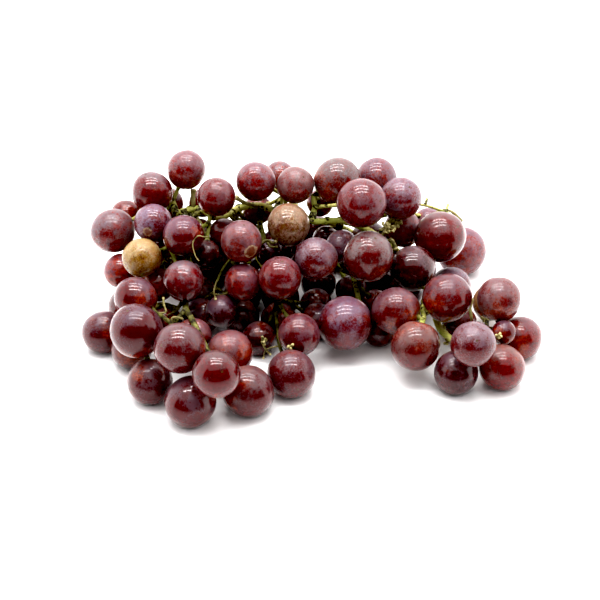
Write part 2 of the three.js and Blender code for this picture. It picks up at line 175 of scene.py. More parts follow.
# Routes are (across, up, level). Berries that are seen are (across, up, level, diameter), and
# those behind them are (x, y, level, diameter), with level 0 for one that lies on the table.
SPRAYS = {
    "left_crown": {
        "route": [(-64.5, 45, 46), (-73, 46, 47)],
        "seen": [
            (-59.5, 67.5, 66, 19.5), (-76, 55, 57, 20.5), (-90.5, 44, 41, 16), (-97, 35.5, 42, 22),
            (-75.5, 40.5, 51, 19), (-69.5, 50.5, 46, 17),
        ],
    },
    "left_top": {
        "route": [(-44, 44, 47), (-46.5, 46, 52)],
        "seen": [(-50.5, 49.5, 43, 15), (-43.5, 53.5, 63, 19), (-61, 33.5, 50, 20), (-49, 24, 38, 14)],
    },
    "left_shoulder": {
        "route": [(-61, 46, 46), (-66, 36, 40), (-70, 22, 34)],
        "seen": [
            (-81.5, 21, 39, 19), (-93, 15.5, 26, 17.5), (-75, 9.5, 25, 17), (-69.5, 23.5, 33, 17),
            (-60.5, 10, 35, 19.5),
        ],
        "behind": [(-84, 14, 0, 20)],
    },
    "left_wing": {
        "route": [
            (-52, 47, 47), (-56, 22, 38), (-64, -1, 30), (-66, -9, 29), (-58, -17, 26), (-46, -26, 22),
            (-38, -32, 18),
        ],
        "side": [(-66, -6, 29), (-72, -10, 26), (-75, -20, 20), (-80, -27, 19)],
        "seen": [
            (-85.5, 1, 32, 20), (-85, -16, 32, 24.5), (-101.5, -16.5, 0, 20.5), (-88, -25, 0, 19.5),
            (-89, -3, 14, 19), (-62.5, -25, 33, 23), (-55.5, -19, 20, 17.5), (-36.5, -27.5, 18, 21.5),
            (-43.5, -38.5, 30, 21.5), (-27, -47.5, 0, 23.5), (-78, -42.5, 0, 21), (-57, -53, 0, 23),
        ],
        "behind": [(-64, -34, 0, 18)],
    },
    "middle_left": {
        "route": [(-36, 46, 49), (-32, 36, 42), (-35, 20, 34)],
        "seen": [(-30.5, 28, 48, 20), (-31, 9.5, 32, 18), (-39.5, 34.5, 42, 15), (-38, -6, 14, 16)],
        "behind": [(-40, 2, 24, 18), (-51, -31, 0, 18), (-31, -32, 0, 18)],
    },
    "middle_crown": {
        "route": [(-12, 46.5, 49), (-11, 54, 54), (-9, 57, 56)],
        "seen": [
            (-21.5, 61.5, 66, 19.5), (-3, 60, 65, 18.5), (-10.5, 64.5, 58, 15.5), (-22, 47, 44, 15),
            (-6, 39, 53, 21),
        ],
    },
    "middle_low": {
        "route": [(-20, 48.5, 50), (-14, 30, 34), (-12, 14, 20), (-10, -4, 16)],
        "seen": [
            (-10.5, 11.5, 38, 20.5), (-4.5, -38.5, 0, 22.5), (-0.5, -18, 19, 20), (-21, -19, 0, 16.5),
            (-15.5, 24, 34, 14),
        ],
        "behind": [(-11, -33, 0, 18), (9, -32, 0, 18), (6, -14, 0, 16)],
    },
    "middle_right": {
        "route": [(21, 41, 47), (20, 32, 34), (25, 18, 24), (29, 6, 20), (31, -2, 20)],
        "seen": [
            (8.5, 21.5, 42, 20.5), (21.5, 28, 35, 16.5), (35.5, 22.5, 43, 24.5), (23.5, -12, 17, 26),
            (39.5, -2, 0, 15), (13.5, 32, 33, 13),
        ],
    },
    "right_crown": {
        "route": [(6, 41, 47), (4, 49, 53), (7, 54, 57)],
        "seen": [(32, 50.5, 65, 24), (18.5, 61.5, 64, 24), (10.5, 50.5, 47, 14)],
    },
    "right_top": {
        "route": [(33, 38, 45), (42, 42, 46), (46, 45, 47)],
        "seen": [(40, 63, 60, 21), (52, 52.5, 58, 21), (54, 37, 37, 19), (67, 40, 33, 16)],
    },
    "right_shoulder": {
        "route": [(55, 19, 24), (63, 23, 22), (68, 24, 21)],
        "seen": [(72.5, 33.5, 40, 25.5), (84, 25.5, 0, 26), (59, 17.5, 33, 22.5)],
        "behind": [(62, 14, 0, 18), (53, -1, 0, 18)],
    },
    "right_wing": {
        "route": [(70, -5, 14), (66, -11, 20), (62, -16, 24)],
        "seen": [
            (76.5, 1, 29, 23.5), (78.5, 7, 15, 20), (51, -8.5, 23, 23), (60.5, -23, 17, 23),
            (42, -17, 0, 16),
        ],
    },
    "right_wing_tip": {
        "route": [(83, -24, 13), (92, -19, 18), (103, -20, 18)],
        "seen": [
            (104, -2, 28, 21), (99, -1.5, 12, 18), (114, -20, 0, 21.5), (90, -23, 29, 21),
            (105, -35, 0, 21.5), (79, -37, 0, 20.5), (105.5, -15, 20, 11.5),
        ],
        "behind": [(79, -33, 0, 17)],
    },
    "back_left": {
        "route": [(-57.5, 46.5, 46), (-58, 44, 34), (-54, 41, 24)],
        "behind": [
            (-64, 26, 0, 20), (-43, 31, 0, 21), (-52, 17, 29, 19), (-51, -9, 0, 19), (-66, 4, 20, 17),
            (-47, 11, 0, 19),
        ],
    },
    "back_middle": {
        "route": [(-32, 47.5, 49), (-33, 43, 38), (-26, 39, 26)],
        "behind": [
            (-21, 32, 0, 20), (0, 33, 0, 21), (-32, 17, 28, 18), (-29, -13, 0, 19), (-8, -12, 0, 19),
            (-12, 8, 26, 19), (-20, 8, 0, 20),
        ],
    },
    "back_right": {
        "route": [(14, 41, 47), (24, 40, 34), (26, 36, 24)],
        "behind": [
            (20, 35, 0, 20), (41, 31, 0, 21), (9, 21, 28, 18), (36, 17, 27, 19), (12, 1, 0, 18),
            (27, 1, 0, 17), (39, 5, 0, 19),
        ],
    },
}


class Ball:
    """A berry, or a short piece of stem that berries and stalks keep clear of."""

    def __init__(self, centre, radius, spray=None, lies=False):
        self.centre = centre.copy()
        self.radius = radius
        self.spray = spray
        self.lies = lies
        self.pole = Vector((0, 0, 1))


def read_berries():
    berries = []
    for spray, rows in SPRAYS.items():
        for seen in ("seen", "behind"):
            for first, second, level, diameter in rows.get(seen, []):
                radius = diameter / 2
                lies = level == 0
                height = radius - PRESSED if lies else level
                place = Vector((first, second, height))
                if seen == "seen":
                    place = seen_at(first, second, height)
                berries.append(Ball(place, radius, spray, lies))
    return berries


def push_apart(start, end, room):
    """How an end moves to have its room from a start, or None where it has that already."""
    between = end - start
    distance = between.length
    if distance >= room:
        return None
    between /= distance
    push = (between + SIGHT * (SIGHT_FAVOUR * between.dot(SIGHT))).normalized()
    return push * ((room - distance) / push.dot(between))


def settle(berries, stems):
    """Moves berries that would share space apart, mostly along the line of sight."""
    pairs = []
    for i, one in enumerate(berries):
        for other in berries[:i] + stems:
            room = one.radius + other.radius + BERRY_GAP
            if (one.centre - other.centre).length < room + REACH:
                pairs.append((one, other, room))
    for _ in range(SETTLE_ROUNDS):
        for one, other, room in pairs:
            push = push_apart(other.centre, one.centre, room)
            if push:
                share = 0.5 if other.spray else 1
                one.centre += push * share
                other.centre += push * (share - 1)
        for ball in berries:
            lowest = ball.radius + BERRY_GAP
            ball.centre.z = ball.radius - PRESSED if ball.lies else max(ball.centre.z, lowest)


def balls_of(points, radius):
    return [Ball(point, radius) for point in points]


berries = read_berries()
stem_balls = balls_of(main_line, MAIN_RADIUS) + balls_of(cut_line, CUT_END_RADIUS)
for points, radius in main_twigs:
    stem_balls += balls_of(points, radius)
settle(berries, stem_balls)

# The middle of the bunch stands over the origin.
MM = 0.001
low = Vector(min(ball.centre[i] - ball.radius for ball in berries) for i in range(3))
high = Vector(max(ball.centre[i] + ball.radius for ball in berries) for i in range(3))
for i in range(2):
    high[i] = max(high[i], cut_line[-1][i])
MIDDLE = Vector(((low.x + high.x) / 2, (low.y + high.y) / 2, 0))


def placed(point):
    """A point of the bunch in metres, from its middle."""
    return (point - MIDDLE) * MM


# The camera stands where the photograph was taken from. Its picture is FRAME_WIDTH wide at the
# middle of the bunch.
FRAME_WIDTH = 312
SENSOR_WIDTH = 36
camera_data = bpy.data.cameras.new("camera")
camera_data.sensor_width = SENSOR_WIDTH
camera_data.lens = SENSOR_WIDTH * EYE_DISTANCE / FRAME_WIDTH
camera = bpy.data.objects.new("camera", camera_data)
bpy.context.collection.objects.link(camera)
camera.location = placed(EYE)
camera.rotation_euler = (math.pi / 2 - EYE_DROP, 0, 0)
bpy.context.scene.camera = camera


# The branches and stalks of the sprays: green stems pulled tight between the main stem and
# the berries, that go round what is in their way. A branch leaves the main stem squarely,
# and a stalk leaves the nearest stem that is open to its berry.
BRANCH_RADIUS = 1.3
STALK_RADIUS = 0.9
STEM_GAP = 0.45
STEM_CLEAR = 0.7
STALK_SINK = 0.7
BRANCH_STEP = 6
STALK_STEP = 7
THREAD_ROUNDS = 80
LOOSE_ROUNDS = 20
PULL = 0.4
NEAR_ROOT = 9
IN_THE_WAY = 3
OUTSIDE_BERRY = 1.1


def thread(points, step, radius, balls, held=1):
    """A stem pulled tight between the ends of a line, that goes round what is in its way."""
    line = evenly(points, step)
    near = [
        ball
        for ball in balls
        if any((point - ball.centre).length < ball.radius + radius + REACH for point in line)
    ]
    for rounds in range(THREAD_ROUNDS):
        pull = PULL if rounds < THREAD_ROUNDS - LOOSE_ROUNDS else 0
        for i in range(held, len(line) - 1):
            point = line[i].lerp((line[i - 1] + line[i + 1]) / 2, pull)
            for ball in near:
                room = ball.radius + radius + STEM_CLEAR
                out = point - ball.centre
                if out.length < room:
                    point = ball.centre + out * (room / out.length)
            point.z = max(point.z, radius + STEM_CLEAR)
            line[i] = point
    return line


def cost_of(start, berry, berries):
    """How long a straight stalk is, and how deep it would run through other berries."""
    line = berry.centre - start
    cost = line.length
    for ball in berries:
        if ball is not berry:
            share = (ball.centre - start).dot(line) / line.length_squared
            close = start + line * min(max(share, 0), 1)
            cost += IN_THE_WAY * max(0, ball.radius + STALK_RADIUS - (close - ball.centre).length)
    return cost


def grow_stalk(berry, stems, berries, balls):
    """A stalk from the best of the stems' points, that enters its berry squarely."""
    start = min(stems, key=lambda place: cost_of(place, berry, berries))
    others = [ball for ball in balls if ball is not berry]
    stalk = thread([start, berry.centre], STALK_STEP / 2, STALK_RADIUS, others)
    clear = [
        point
        for i, point in enumerate(stalk)
        if i == 0 or (point - berry.centre).length > OUTSIDE_BERRY * berry.radius
    ]
    outside = smoothly(clear, STALK_STEP) if len(clear) > 1 else clear
    berry.pole = (outside[-1] - berry.centre).normalized()
    return [*outside, berry.centre + berry.pole * (STALK_SINK * berry.radius)]


def grow_spray(name, berries, grown):
    """A spray's stems, as lines of points that each have a radius."""
    first, *way = seen_points(SPRAYS[name]["route"])
    root = nearest(main_fine, first)
    at = min(main_fine.index(root), len(main_fine) - 2)
    run = (main_fine[at + 1] - main_fine[at]).normalized()
    outwards = way[0] - root
    outwards = (outwards - run * outwards.dot(run)).normalized()
    start = root + outwards * (MAIN_RADIUS + STEM_GAP)
    far_stems = [ball for ball in stem_balls if (ball.centre - root).length > NEAR_ROOT]
    way = [start, start + outwards * BRANCH_STEP, *way]
    near_balls = berries + far_stems + grown
    branch = thread(way, BRANCH_STEP, BRANCH_RADIUS, near_balls, held=2)
    lines = [(branch, BRANCH_RADIUS)]
    stems = branch[1:]
    balls = berries + stem_balls + grown
    if "side" in SPRAYS[name]:
        fork, *rest = seen_points(SPRAYS[name]["side"])
        side = thread([nearest(stems, fork), *rest], BRANCH_STEP, BRANCH_RADIUS, balls)
        lines.append((side, BRANCH_RADIUS))
        stems += side[1:]
    lines += grow_twigs(name, list(stems))
    own = [ball for ball in berries if ball.spray == name]
    own.sort(key=lambda ball: (nearest(branch, ball.centre) - ball.centre).length)
    for berry in own:
        stalk = grow_stalk(berry, stems, berries, balls)
        lines.append((stalk, STALK_RADIUS))
        stems += stalk[1 : math.ceil(len(stalk) / 2)]
    for points, radius in lines:
        grown += balls_of(smoothly(points, 2 * radius), radius)
    return root, outwards, lines


grown = []
sprays = {name: grow_spray(name, berries, grown) for name in SPRAYS}


# The wood of the stems: green and yellow, a little lumpy and scarred with brown. It is thicker
# at each fork and in the cap that holds a berry, and grew with the berries that hang from it.
# In the shade of some sprays it is painted darker and more scarred, as painted shade.
STEM_GREEN = (0.33, 0.35, 0.1, 1)
STEM_YELLOW = (0.53, 0.5, 0.19, 1)
STEM_PALE = (0.62, 0.58, 0.34, 1)
# A darker copy of the stem colours: painted shade for the sprays in the bunch's hollow.
SHADE_GREEN = (0.07, 0.065, 0.02, 1)
SHADE_YELLOW = (0.19, 0.18, 0.06, 1)
SHADED_SPRAYS = ("left_wing", "middle_left", "middle_low", "middle_right", "right_wing_tip")
SHADE_SCARS = 0.06
STEM_SCAR = (0.022, 0.014, 0.008, 1)
CAP_RADIUS = 1.7
CAP_LENGTH_SHARE = 1.4
FORK_SWELL = 0.5
FORK_LENGTH = 3
KNUCKLE = 0.16
STEM_SIDES = 10
STEM_POINTS_APART = 0.8
STEM_LUMPS = 0.0004
STEM_BUMP = 0.0005
# A stub of each branch joins it to the main stem.
STUB_RADIUS = 1.5
STUB_IN, STUB_OUT = 0.5, 2.4
# The main stem keeps one in MAIN_EVERY of its fine points.
MAIN_EVERY = 6


class Value:
    """A socket of a node tree that can be reckoned with."""

    def __init__(self, tree, socket):
        self.tree = tree
        self.socket = socket

    def math(self, operation, *values):
        sockets = dict(enumerate((self, *values)))
        return add(self.tree, "ShaderNodeMath", {"operation": operation}, sockets)

    def __add__(self, other):
        return self.math("ADD", other)

    def __sub__(self, other):
        return self.math("SUBTRACT", other)

    def __rsub__(self, other):
        return self.math("MULTIPLY_ADD", -1, other)

    def __mul__(self, other):
        return self.math("MULTIPLY", other)

    __radd__ = __add__
    __rmul__ = __mul__

    def step(self, start, end):
        """0 up to start, 1 from end on, and a smooth rise between them."""
        settings = {"interpolation_type": "SMOOTHSTEP"}
        return add(self.tree, "ShaderNodeMapRange", settings, {0: self, 1: start, 2: end})


def add(tree, kind, settings=None, sockets=None, out=0):
    """A new node of a tree, set up and linked, as the value of one of its outputs."""
    node = tree.nodes.new(kind)
    for key, value in (settings or {}).items():
        setattr(node, key, value)
    for key, value in (sockets or {}).items():
        if isinstance(value, Value):
            tree.links.new(value.socket, node.inputs[key])
        else:
            node.inputs[key].default_value = value
    return Value(tree, node.outputs[out])


def mix(factor, low, high):
    """A colour between two colours."""
    settings = {"data_type": "RGBA"}
    return add(factor.tree, "ShaderNodeMix", settings, {0: factor, 6: low, 7: high}, out=2)


def noise(place, scale, detail=2, roughness=0.5, seed=0):
    sockets = {"Vector": place, "W": seed, "Scale": scale, "Detail": detail}
    sockets |= {"Roughness": roughness}
    return add(place.tree, "ShaderNodeTexNoise", {"noise_dimensions": "4D"}, sockets)


def attribute(tree, name, out):
    return add(tree, "ShaderNodeAttribute", {"attribute_name": name}, out=out)


def new_skin(name, **constants):
    """A material with its surface node, whose steady values are set on its own sockets."""
    material = bpy.data.materials.new(name)
    material.use_nodes = True
    surface = material.node_tree.nodes["Principled BSDF"]
    for key, value in constants.items():
        surface.inputs[key.replace("_", " ")].default_value = value
    return material, material.node_tree, surface


def finish(tree, surface, colour, roughness, height, distance):
    """Links the colour, the roughness and a height in metres to a surface node."""
    tree.links.new(colour.socket, surface.inputs["Base Color"])
    tree.links.new(roughness.socket, surface.inputs["Roughness"])
    sockets = {"Height": height, "Distance": distance, "Strength": 1}
    bump = add(tree, "ShaderNodeBump", None, sockets)
    tree.links.new(bump.socket, surface.inputs["Normal"])


def stem_material(name, dark, light, pale, scarred):
    material, tree, surface = new_skin(name, Specular_IOR_Level=0.35)
    place = add(tree, "ShaderNodeTexCoord", out="Object")
    broad = noise(place, 110, 2)
    blotch = noise(place, 330, 3, 0.6, 4)
    fine = noise(place, 900, 3, 0.6)
    grain = noise(place, 2600, 2)
    bark = attribute(tree, "bark", "Fac")
    scars = (blotch + 0.35 * bark + 0.3 * (fine - 0.5) + scarred).step(0.58, 0.66)
    wood = mix(broad.step(0.38, 0.62), dark, light)
    wood = mix(fine.step(0.5, 0.75) * 0.5, wood, pale)
    wood = mix(bark.step(0.25, 0.55) * 0.6, wood, pale)
    wood = mix(grain.step(0.6, 0.75) * 0.35, wood, STEM_SCAR)
    colour = mix(scars * (0.6 + 0.4 * fine.step(0.35, 0.6)), wood, STEM_SCAR)
    height = blotch + fine * 0.5 + grain * 0.2 - scars * 0.6
    finish(tree, surface, colour, 0.5 + 0.3 * fine, height, STEM_BUMP)
    return material


def read(tree, name, kind):
    """An attribute of the points, in a geometry tree."""
    return add(tree, "GeometryNodeInputNamedAttribute", {"data_type": kind}, {"Name": name})


def new_tree(name, inputs, output):
    """A geometry tree with named inputs of their kinds, and the values of those inputs."""
    tree = bpy.data.node_groups.new(name, "GeometryNodeTree")
    for key, kind in inputs.items():
        tree.interface.new_socket(key, in_out="INPUT", socket_type="NodeSocket" + kind)
    tree.interface.new_socket(output, in_out="OUTPUT", socket_type="NodeSocketGeometry")
    start = tree.nodes.new("NodeGroupInput")
    return tree, {socket.name: Value(tree, socket) for socket in start.outputs}


def moved_out(mesh, distance):
    """The mesh with its points moved out along their normals."""
    sockets = {0: add(mesh.tree, "GeometryNodeInputNormal"), "Scale": distance}
    out = add(mesh.tree, "ShaderNodeVectorMath", {"operation": "SCALE"}, sockets)
    return add(mesh.tree, "GeometryNodeSetPosition", None, {"Geometry": mesh, "Offset": out})


def finished(tree, mesh, material, output):
    """Smooths and realizes a mesh, gives it its material and sends it out of the tree."""
    smooth = add(tree, "GeometryNodeSetShadeSmooth", None, {"Geometry": mesh})
    whole = add(tree, "GeometryNodeRealizeInstances", None, {"Geometry": smooth})
    sockets = {"Geometry": whole, "Material": material}
    done = add(tree, "GeometryNodeSetMaterial", None, sockets)
    tree.links.new(done.socket, tree.nodes.new("NodeGroupOutput").inputs[output])


def stem_tree():
    """Sweeps a round section along lines of points, as thick as their radius says."""
    inputs = {"Lines": "Geometry", "Sides": "Int", "Lumps": "Float", "Material": "Material"}
    tree, given = new_tree("sweep_stems", inputs, "Stems")
    line = add(tree, "GeometryNodeMeshToCurve", None, {"Mesh": given["Lines"]})
    section = {"Resolution": given["Sides"], "Radius": 1}
    section = add(tree, "GeometryNodeCurvePrimitiveCircle", None, section)
    thick = read(tree, "thick", "FLOAT")
    sockets = {"Curve": line, "Profile Curve": section, "Scale": thick, "Fill Caps": True}
    swept = add(tree, "GeometryNodeCurveToMesh", None, sockets)
    place = add(tree, "GeometryNodeInputPosition")
    lumps = noise(place, 420, 3, seed=2) - 0.5
    uneven = moved_out(swept, lumps * given["Lumps"])
    finished(tree, uneven, given["Material"], "Stems")
    return tree


def made(name, mesh, tree, values):
    """The plain mesh that a geometry tree makes of a mesh, as an object of that name."""
    piece = bpy.data.objects.new(name, mesh)
    bpy.context.collection.objects.link(piece)
    modifier = piece.modifiers.new("grow", "NODES")
    modifier.node_group = tree
    sockets = {item.name: item.identifier for item in tree.interface.items_tree}
    for key, value in values.items():
        modifier[sockets[key]] = value
    bpy.context.view_layer.update()
    grown_piece = piece.evaluated_get(bpy.context.evaluated_depsgraph_get())
    plain = bpy.data.meshes.new_from_object(grown_piece)
    piece.modifiers.remove(modifier)
    piece.data = plain
    plain.name = name
    return piece


def stem_mesh(lines, knuckle):
    """Stems as a mesh of edges. Each is its points, its radius, how much thicker it is at its
    fork, the radius of the cap or bead at its end and how far that end is sunk in a berry."""
    vertices, edges, thick, bark = [], [], [], []
    for points, radius, swell, end_radius, sunk in lines:
        step = min(STEM_POINTS_APART, 1.5 * radius)
        fine = smoothly(points, step)
        length = (len(fine) - 1) * step
        for i, point in enumerate(fine):
            if i:
                edges.append((len(vertices) - 1, len(vertices)))
            vertices.append(placed(point))
            fork = math.exp(-((i * step / FORK_LENGTH) ** 2)) if swell else 0
            end = 0
            if end_radius:
                end = max(0, 1 - abs(length - sunk - i * step) / (end_radius * CAP_LENGTH_SHARE))
            here = radius * (1 + swell * fork + random.uniform(0, knuckle))
            thick.append((here + max(0, end_radius - radius) * end**0.7) * MM)
            bark.append(0.6 * max(fork, end) + random.uniform(-0.2, 0.2))
    mesh = bpy.data.meshes.new("lines")
    mesh.from_pydata(vertices, edges, [])
    mesh.attributes.new("thick", "FLOAT", "POINT").data.foreach_set("value", thick)
    mesh.attributes.new("bark", "FLOAT", "POINT").data.foreach_set("value", bark)
    return mesh


random.seed(5)
green_wood = stem_material("green_stem", STEM_GREEN, STEM_YELLOW, STEM_PALE, 0)
sweep = stem_tree()
sweep_values = {"Sides": STEM_SIDES, "Lumps": STEM_LUMPS, "Material": green_wood}
shaded_wood = stem_material("painted_shade_stem", SHADE_GREEN, SHADE_YELLOW, STEM_YELLOW, SHADE_SCARS)

main_lines = [(main_fine[::MAIN_EVERY], MAIN_RADIUS, 0, 0, 0)]
main_lines.append((cut_line, CUT_END_RADIUS, 0, 0, 0))
main_lines += [(points, radius, FORK_SWELL, 0, 0) for points, radius in main_twigs]
for root, outwards, _ in sprays.values():
    stub = [root - outwards * STUB_IN, root + outwards, root + outwards * STUB_OUT]
    main_lines.append((stub, STUB_RADIUS, FORK_SWELL, 0, 0))
main_stem = made("main_stem_wood", stem_mesh(main_lines, KNUCKLE), sweep, sweep_values)
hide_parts("main_stem")
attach(main_stem, "root")

for name, (root, outwards, lines) in sprays.items():
    stalk_lines = []
    for points, radius in lines:
        sunk = (1 - STALK_SINK) * (points[-1] - points[-2]).length
        cap = CAP_RADIUS if radius == STALK_RADIUS else 0
        stalk_lines.append((points, radius, FORK_SWELL, cap, sunk))
    # The sprays in the hollow take the darker stem colours, which are painted shade.
    wood = shaded_wood if name in SHADED_SPRAYS else green_wood
    stalk_values = sweep_values | {"Material": wood}
    stalks = made(name + "_stalks", stem_mesh(stalk_lines, KNUCKLE), sweep, stalk_values)
    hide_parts(name)
    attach(stalks, "root")


# What dried on the stems: threads and scraps of flowers that never set, and the stubs and
# scarred knuckles of stalks that lost their berries. They grew there, and some lie on a berry.
DRY_BROWN = (0.1, 0.085, 0.035, 1)
DRY_OCHRE = (0.33, 0.29, 0.14, 1)
DRY_PALE = (0.78, 0.7, 0.38, 1)
DRY_SCARS = -0.3
DRY_SIDES = 8
DRY_LUMPS = 0.0003
DRY_KNUCKLE = 0.3
BEAD_RADIUS = 0.75
FLOWER_TWIG_RADIUS = 0.28
UP_IN_VIEW = Vector((0, DROP, RUN))
DEPTH_COUNTS = 0.08
# Most of their places were read off the photograph, in its pixels.
PHOTO_WIDTH = 600
PIXEL = FRAME_WIDTH / PHOTO_WIDTH


def spot(x, y):
    """Across and up of a pixel of the photograph, to a tenth of a millimetre."""
    middle = PHOTO_WIDTH / 2
    return round((x - middle) * PIXEL, 1), round((middle - y) * PIXEL, 1)


# The dry twigs: radius, radius at the end, and the route as (across, up).
DRY_TWIGS = [
    (0.7, 0, [spot(447, 210), spot(455, 214), spot(459, 218), spot(462.5, 221.5)]),
    (
        0.3,
        0,
        [
            spot(204, 237), spot(198, 236), spot(193, 242), spot(193, 248), spot(196, 257),
            spot(199, 261),
        ],
    ),
    (0.4, 0.6, [spot(262, 342), spot(267, 351), spot(271, 355)]),
    (0.35, 0.6, [spot(266, 350), spot(264, 355), spot(263.5, 359)]),
    (0.6, 0.8, [(-20, 29.5), (-17, 31), (-14, 29.5), (-12, 31)]),
    (0.5, 0.7, [(-17, 30.5), (-15.5, 27.8), (-11.5, 27.6)]),
    (1.1, 1.4, [spot(193, 203), spot(193, 196), spot(193.5, 189)]),
    (0.9, 1.3, [spot(251, 205), spot(243, 202), spot(235, 197)]),
    (0.8, 1.2, [spot(251, 205), spot(262, 207), spot(269, 204)]),
    (0.45, 0.6, [spot(166, 312), spot(164, 305), spot(163, 297)]),
    (0.4, 0.6, [spot(168, 315), spot(176, 311), spot(178, 308)]),
    (0.45, 0.7, [spot(172, 318), (-63.4, -9), (-60.8, -10)]),
    (0.4, 0.7, [spot(216, 283), spot(214, 292), spot(216, 300)]),
    (0.4, 0.7, [spot(229, 293), spot(220, 295), spot(214, 294), spot(206, 298)]),
    (0.4, 0, [spot(437, 327), spot(441, 331), spot(444, 328), spot(443, 324)]),
    (0.8, 1.1, [spot(471, 318), spot(470, 308), spot(472, 298)]),
    (1.1, 0.9, [spot(391, 240), spot(394, 245), spot(396, 250)]),
    (0.8, 1.1, [spot(196, 214), spot(201, 224), spot(206, 236)]),
]
# The flower remains: where they are, how wide they spread and how many twigs they have.
FLOWER_REMAINS = [
    ((49.4, 40.8), 4.2, 26),
    ((45.2, 37.5), 4.2, 24),
    (spot(263, 341), 2.4, 10),
    (spot(291, 346), 1.9, 7),
    (spot(168, 260), 2.1, 8),
    (spot(443, 330), 1.8, 7),
    (spot(447, 342), 1.8, 7),
    (spot(484, 319), 2.2, 9),
    (spot(499, 336), 2, 8),
]


def view_of(point):
    """Across and up of a point as it is seen, and how far it is from the eye."""
    out = point - EYE
    depth = out.dot(SIGHT)
    return out.x * EYE_DISTANCE / depth, out.dot(UP_IN_VIEW) * EYE_DISTANCE / depth, depth


def in_view(across, up, depth):
    """The point seen at (across, up) that is so far from the eye."""
    nearer = depth / EYE_DISTANCE
    return EYE + SIGHT * depth + Vector((across * nearer, 0, 0)) + UP_IN_VIEW * (up * nearer)


def depth_before(across, up, depth, gap):
    """That depth, or that of the nearest berry that hides it there."""
    for ball in berries:
        ball_across, ball_up, ball_depth = view_of(ball.centre)
        off = math.hypot(ball_across - across, ball_up - up)
        if off < ball.radius:
            depth = min(depth, ball_depth - math.sqrt(ball.radius**2 - off**2) - gap)
    return depth


stem_points = []
for _, _, lines in sprays.values():
    for points, _ in lines:
        stem_points += points
stem_points += main_fine


def stem_near(across, up):
    """The stems' point that is seen nearest to a place, and rather one in front."""

    def far(point):
        point_across, point_up, depth = view_of(point)
        return math.hypot(point_across - across, point_up - up) + DEPTH_COUNTS * depth

    return min(stem_points, key=far)


dry_lines = []
for radius, end_radius, route in DRY_TWIGS:
    root = stem_near(*route[0])
    depth = min(depth_before(*row, view_of(root)[2] - 1, radius) for row in route)
    points = [root] + [in_view(*row, depth) for row in route]
    dry_lines.append((points, radius, 0, end_radius, end_radius * 0.5))
for (across, up), spread, count in FLOWER_REMAINS:
    root = stem_near(across, up)
    heart = in_view(across, up, depth_before(across, up, view_of(root)[2], spread))
    dry_lines.append(([root, root.lerp(heart, 0.5), heart], 2 * FLOWER_TWIG_RADIUS, 0, 0, 0))
    for _ in range(count):
        out = Vector([random.gauss(0, 1) for _ in range(3)]).normalized() * spread
        bend = Vector([random.uniform(-0.3, 0.3) * spread for _ in range(3)])
        ends = [heart, heart + out * 0.5 + bend, heart + out * random.uniform(0.5, 1.1)]
        dry_lines.append((ends, FLOWER_TWIG_RADIUS, 0, BEAD_RADIUS, BEAD_RADIUS * 0.5))
dry_wood = stem_material("dry_stem", DRY_BROWN, DRY_OCHRE, DRY_PALE, DRY_SCARS)
dry_values = {"Sides": DRY_SIDES, "Lumps": DRY_LUMPS, "Material": dry_wood}
dry_bits = made("dry_bits", stem_mesh(dry_lines, DRY_KNUCKLE), sweep, dry_values)
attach(dry_bits, "root")


# The berries: round fruit under a tight shiny skin, dark red where it is rubbed and a dusty
# mauve under whole bloom, with orange flecks towards the stalk. The mauve is painted on more
# thickly on the upper side and the red shows more in front, as painted light and shade. Each is
# dimpled where its stalk enters, and has a small dry tip at the other end. They grow on the ends
# of the stalks.
OVAL = 1.04
BERRY_SIDES = 48
BERRY_BANDS = 30
DIMPLE_DEPTH, DIMPLE_WIDTH = 0.09, 0.3
TIP_DEPTH, TIP_WIDTH = 0.025, 0.16
BERRY_LUMPS = 0.0008
SKIN_BUMP = 0.00014
DEEP_RED = (0.075, 0.001, 0.002, 1)
TIP_SCAR = (0.09, 0.045, 0.02, 1)
RUSSET = (0.2, 0.09, 0.045, 1)
PALE_RIM = (0.5, 0.4, 0.27, 1)
FLECKS = (0.36, 0.065, 0.01, 1)
# Each tone's flesh, and its bloom.
RIPE_TONES = {
    "red": ((0.135, 0.002, 0.002, 1), (0.18, 0.12, 0.135, 1)),
    "wine": ((0.095, 0.001, 0.003, 1), (0.15, 0.105, 0.125, 1)),
    "misty": ((0.18, 0.008, 0.004, 1), (0.2, 0.14, 0.155, 1)),
    "rose": ((0.21, 0.022, 0.01, 1), (0.21, 0.13, 0.14, 1)),
    "dark": ((0.055, 0.001, 0.003, 1), (0.16, 0.115, 0.14, 1)),
    "dusty": ((0.12, 0.002, 0.003, 1), (0.22, 0.175, 0.2, 1)),
    "amber": ((0.21, 0.11, 0.01, 1), (0.42, 0.28, 0.17, 1)),
    "olive": ((0.11, 0.05, 0.012, 1), (0.33, 0.23, 0.15, 1)),
}
# The tones of each spray's berries, in the order of its berries. The rest, hidden inside and behind
# the bunch, are dark: riper berries, and painted shade for the bunch's hollow middle.
TONES = {
    "left_crown": "misty dusty red misty dusty red",
    "left_top": "rose red red dark",
    "left_shoulder": "amber rose rose red dusty",
    "left_wing": "wine wine wine wine wine wine wine red wine wine wine wine",
    "middle_left": "rose rose red dark",
    "middle_crown": "misty misty misty misty olive",
    "middle_low": "red wine wine dark dark",
    "middle_right": "dusty dusty dusty dusty red dark",
    "right_crown": "red misty misty",
    "right_top": "misty dusty misty dusty",
    "right_shoulder": "red misty dark",
    "right_wing": "red dusty red red dark",
    "right_wing_tip": "misty amber red dusty red dark wine",
}
MORE_DUST = {"red": 0, "wine": 0, "misty": 0.1, "rose": 0.02}
MORE_DUST |= {"dark": -0.03, "dusty": 0.06, "amber": 0.05, "olive": 0.1}
# Russet scars, by the berry: how far across, up and to the front they lie, and their size.
NO_SCAR = (0, 0, 0, 0.01)
SCARS = {
    ("middle_left", 0): (0.5, -0.52, 0.69, 0.38),
    ("left_crown", 4): (-0.2, -0.5, 0.84, 0.26),
    ("middle_crown", 4): (0.15, 0.25, 0.95, 0.12),
}


